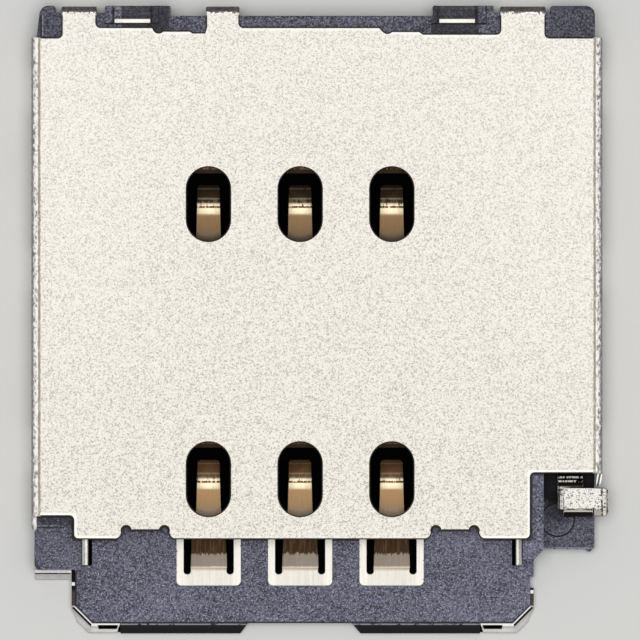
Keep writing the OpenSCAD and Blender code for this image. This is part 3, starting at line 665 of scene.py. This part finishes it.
spring = {
    "pale": (0.90, 0.88, 0.82),
    "dark": (0.40, 0.38, 0.35),
    "outer": (0.33, 0.325, 0.325),
    "gap": (0.014, 0.012, 0.012),
    "roughness": 0.66,
    "middle": -0.5,                       # between the two springs
    "crest": 6.015,                       # line along the top edge, from that middle
    "wall": 6.10,                         # shade against the wall
}


def springSteel():
    # strip on edge: bright on its inner half, darker past a broken line, shaded at the wall
    f = Finish("spring_steel_finish")
    pits = f.place.noise(12.0, 3.0, 0.66, (1.0, 1.0, 1.0), 2.0)
    lines = f.place.noise(20.0, 2.0, 0.6, (1.0, 0.08, 1.0), 5.0)
    wearAndSheen = (0.52 - pits) * 2.5 + (0.5 - lines) * 1.5
    colour = wearAndSheen.blend(spring["pale"], spring["dark"])
    crestAt, wall = spring["crest"], spring["wall"]
    off = abs(f.x - spring["middle"]) + (lines - 0.5) * 0.03
    onTop = f.up.over(0.5, 0.7)
    colour = (off.over(crestAt - 0.01, crestAt + 0.01) * onTop * 0.8).blend(colour, spring["outer"])
    crest = off.near(crestAt, 0.016, 0.004) * pits.over(0.44, 0.52)
    colour = (crest * onTop * 0.7).blend(colour, spring["gap"])
    colour = (off.over(wall - 0.012, wall) * onTop).blend(colour, spring["gap"])
    return f.close(colour, spring["roughness"] + (pits - 0.5) * 0.3, 1.0, pits + lines * 0.3, 0.002, 0.6)


lever = {
    "pale": (0.74, 0.73, 0.70),
    "dark": (0.40, 0.39, 0.37),
    "roughness": 0.55,
}


def leverSteel():
    # bright strip metal with its rolling lines
    f = Finish("lever_steel_finish")
    pits = f.place.noise(10.0, 3.0, 0.66, (1.0, 1.0, 1.0), 2.0)
    lines = f.place.noise(20.0, 2.0, 0.6, (1.0, 0.08, 1.0), 5.0)
    wearAndSheen = (0.52 - pits) * 2.5 + (0.5 - lines) * 1.5
    colour = wearAndSheen.blend(lever["pale"], lever["dark"])
    return f.close(colour, lever["roughness"] + (pits - 0.5) * 0.3, 1.0, pits + lines * 0.3, 0.003, 0.6)


finishes = {
    "black_moulding": mouldedBlack(),
    "shell_steel": pebbledSteel(),
    "contact_plating": contactPlating(),
    "spring_steel": springSteel(),
    "nail_tin": solderTin(),
    "rod_steel": foldedSteel(),
    "lever_steel": leverSteel(),
}
print("finishes made:", len(finishes))


# every solid gets its edges eased, as sheared sheet and moulded corners are:
# its body, its finish, the width of the easing in millimetres and its steps
edges = {
    "housing": ("socket", "black_moulding", 0.018, 2),
    "shell": ("socket", "shell_steel", 0.045, 3),
    "contact_c1": ("socket", "contact_plating", 0.016, 2),
    "contact_c2": ("socket", "contact_plating", 0.016, 2),
    "contact_c3": ("socket", "contact_plating", 0.016, 2),
    "contact_c5": ("socket", "contact_plating", 0.016, 2),
    "contact_c6": ("socket", "contact_plating", 0.016, 2),
    "contact_c7": ("socket", "contact_plating", 0.016, 2),
    "tray_spring_left": ("socket", "spring_steel", 0.018, 2),
    "tray_spring_right": ("socket", "spring_steel", 0.018, 2),
    "front_nail_left": ("socket", "nail_tin", 0.014, 2),
    "front_nail_right": ("socket", "nail_tin", 0.014, 2),
    "rear_nail_left": ("socket", "nail_tin", 0.014, 2),
    "rear_nail_right": ("socket", "nail_tin", 0.014, 2),
    "push_rod": ("rod", "rod_steel", 0.025, 3),
    "eject_lever": ("lever", "lever_steel", 0.022, 2),
}

easing = {
    "shortest": 0.012,                    # edges shorter than this are merged away first
    "shellShortest": 0.016,
    "flat": 0.5,                          # faces closer in angle than this are joined
    "sharp": 35.0,                        # edges turning more than this are eased
    "smooth": 38.0,                       # and those turning less are shaded smooth
    "shellLow": 1.30,                     # below this the shell's edges stay sharper
    "lowShare": 0.35,
    "tries": (1.0, 0.6, 0.35, 0.0),       # shares of the width, tried until no point strays
    "stray": 1.2,                         # how many widths off the solid a point may lie
    "used": 0.9,                          # share of a short edge that its neighbours may use up
    "square": 0.77,                       # neighbours closer in direction than this don't use it up
}


def easingRoom(data):
    # how far each sharp edge can be eased before a short edge beside it is used up;
    # only plain four-sided faces count, such as the walls of a sheet's edge
    points = [point.co for point in data.vertices]
    ways = [points[edge.vertices[1]] - points[edge.vertices[0]] for edge in data.edges]
    room = [1.0] * len(data.edges)
    for face in data.polygons:
        if len(face.vertices) > 4:
            continue
        ring = [data.loops[i].edge_index for i in face.loop_indices]
        for at, middle in enumerate(ring):
            way = ways[middle].normalized()
            beside = [edge for edge in (ring[at - 1], ring[(at + 1) % len(ring)]) if data.edges[edge].select]
            ends = [edge for edge in beside if abs(ways[edge].normalized().dot(way)) < easing["square"]]
            for edge in ends:
                room[edge] = min(room[edge], ways[middle].length * easing["used"] / len(ends))
    return room


def easeEdges(name, width, segments):
    bpy.ops.object.select_all(action="DESELECT")
    solid = frame["nodes"][name]
    solid.select_set(True)
    bpy.context.view_layer.objects.active = solid
    bpy.ops.object.duplicate()
    piece = bpy.context.view_layer.objects.active
    piece.name = name + "_eased"
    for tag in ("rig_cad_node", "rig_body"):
        del piece[tag]
    piece.parent = None
    bpy.ops.object.mode_set(mode="EDIT")
    bpy.ops.mesh.select_all(action="SELECT")
    shortest = easing["shellShortest"] if name == "shell" else easing["shortest"]
    bpy.ops.mesh.remove_doubles(threshold=shortest * mm)
    bpy.ops.mesh.dissolve_limited(angle_limit=math.radians(easing["flat"]))
    bpy.ops.mesh.select_mode(type="EDGE")
    bpy.ops.mesh.select_all(action="DESELECT")
    bpy.ops.mesh.edges_select_sharp(sharpness=math.radians(easing["sharp"]))
    bpy.ops.object.mode_set(mode="OBJECT")
    if width > 0:
        weights = piece.data.attributes.new("bevel_weight_edge", "FLOAT", "EDGE")
        room = easingRoom(piece.data)
        for edge in piece.data.edges:
            lowest = min(piece.data.vertices[i].co.z for i in edge.vertices)
            low = name == "shell" and lowest < easing["shellLow"] * mm
            share = min(easing["lowShare"] if low else 1.0, room[edge.index] / (width * mm))
            weights.data[edge.index].value = edge.select * share
        bevel = piece.modifiers.new("ease", "BEVEL")
        bevel.width = width * mm
        bevel.segments = segments
        bevel.limit_method = "WEIGHT"
        bevel.use_clamp_overlap = False
        bevel.loop_slide = False
        bpy.ops.object.modifier_apply(modifier="ease")
    bpy.ops.object.shade_smooth_by_angle(angle=math.radians(easing["smooth"]))
    flatten = piece.modifiers.new("flat", "WEIGHTED_NORMAL")
    flatten.keep_sharp = True
    flatten.weight = 100
    bpy.ops.object.modifier_apply(modifier="flat")
    return piece


def strays(piece, solid, limit):
    # how many points the easing threw off the solid's faces
    count = 0
    for point in piece.data.vertices:
        near = solid.closest_point_on_mesh(point.co)[1]
        count += (near - point.co).length > limit * mm
    return count


for name, (body, slot, width, segments) in edges.items():
    for share in easing["tries"]:
        piece = easeEdges(name, width * share, segments)
        lost = strays(piece, frame["nodes"][name], width * share * easing["stray"])
        if share == 0 or lost == 0:
            break
        print("easing", name, "again:", lost, "points strayed at", round(width * share, 4), "mm")
        bpy.data.objects.remove(piece)
    piece.data.materials.clear()
    piece.data.materials.append(finishes[slot])
    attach(piece, body)
    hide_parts(name)
print("solids eased:", len(edges))


def makeStage():
    bpy.ops.object.select_all(action="DESELECT")
    floorHeight = -studio["floorDrop"] * mm
    bpy.ops.mesh.primitive_plane_add(size=studio["floorSize"] * mm, location=(0, 0, floorHeight))
    floor = bpy.context.active_object
    floor.name = "floor"
    bpy.ops.object.transform_apply(location=True)
    f = Finish("floor_finish")
    fullX, fadeX, fullY, fadeY = studio["shadeHalf"]
    # painted shadow on the floor under the part and under the front nails' openings
    under = abs(f.x - studio["shadeMiddle"]).over(fadeX, fullX) * abs(f.y).over(fadeY, fullY)
    leftSlot, rightSlot = studio["nailSlots"]
    slots = f.x.near(leftSlot, 0.42, 0.38) + f.x.near(rightSlot, 0.42, 0.38)
    slots = slots * f.y.near(studio["slotFront"], 0.16, 0.14)
    colour = (under + slots).blend(studio["floorColour"], studio["shade"])
    floor.data.materials.append(
        f.close(colour, studio["floorRoughness"], 0.0, fixed={"Specular IOR Level": 0.0}))

    world = bpy.data.worlds.new("studio")
    world.use_nodes = True
    scene.world = world
    backdrop = world.node_tree.nodes["Background"]
    backdrop.inputs["Color"].default_value = studio["worldColour"]
    backdrop.inputs["Strength"].default_value = studio["worldStrength"]

    bpy.ops.object.light_add(type="AREA", location=(0, 0, studio["lampHeight"] * mm))
    lamp = bpy.context.active_object
    lamp.name = "softbox"
    lamp.data.shape = "DISK"
    lamp.data.size = studio["lampDiameter"] * mm
    lamp.data.energy = studio["lampPower"]


def makeCamera():
    data = bpy.data.cameras.new("camera")
    camera = bpy.data.objects.new("camera", data)
    scene.collection.objects.link(camera)
    camera.location = (0, 0, (studio["distance"] + layout["roof"]) * mm)
    frameWidth = studio["imagePixels"] / studio["pixelsPerMm"]
    data.sensor_width = studio["sensor"]
    data.lens = studio["sensor"] * studio["distance"] / frameWidth
    data.clip_start, data.clip_end = studio["clip"]
    scene.camera = camera


makeStage()
makeCamera()
scene.view_settings.view_transform = "Standard"
print("stage, lamp and camera set")
